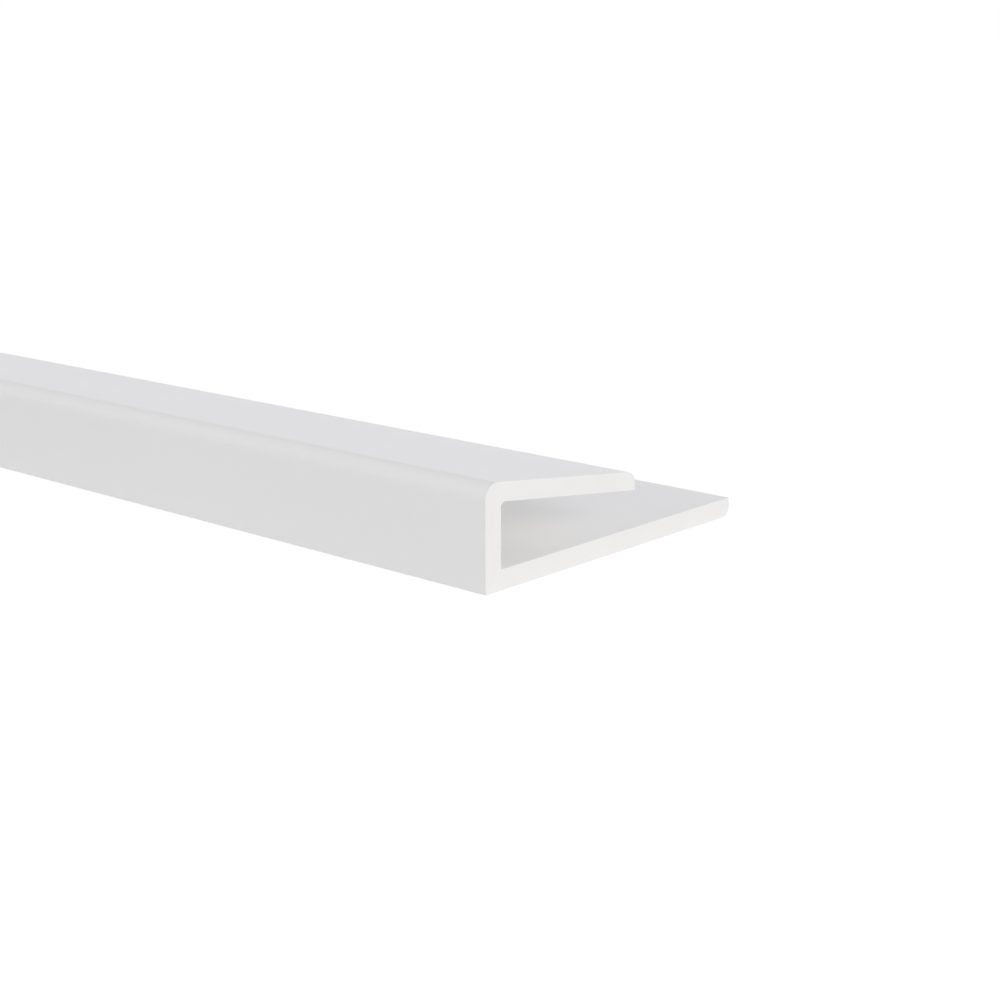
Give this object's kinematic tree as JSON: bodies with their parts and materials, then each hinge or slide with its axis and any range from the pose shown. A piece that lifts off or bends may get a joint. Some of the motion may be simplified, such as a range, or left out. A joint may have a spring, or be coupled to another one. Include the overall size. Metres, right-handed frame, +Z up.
{
  "type": "cladding start profile",
  "caption": "Length of white rigid PVC start profile with a J section: a wide flat fixing flange, a low upright web and a short lip that slopes back over the flange to grip a board.",
  "frame": {"origin": "middle of the length and width, on the face that the stick lies on", "axes": "+X along the length to the end that the picture shows, +Y from the web to the tips of the flange and lip, +Z up from the resting face"},
  "size_m": [3, 0.0384, 0.0103],
  "materials": {
    "white_pvc": "nearly matt with a faint sheen, white right through, faint lines along the length, sawn square at both ends"
  },
  "bodies": {
    "root": {"start_profile": "white_pvc"}
  },
  "joints": []
}
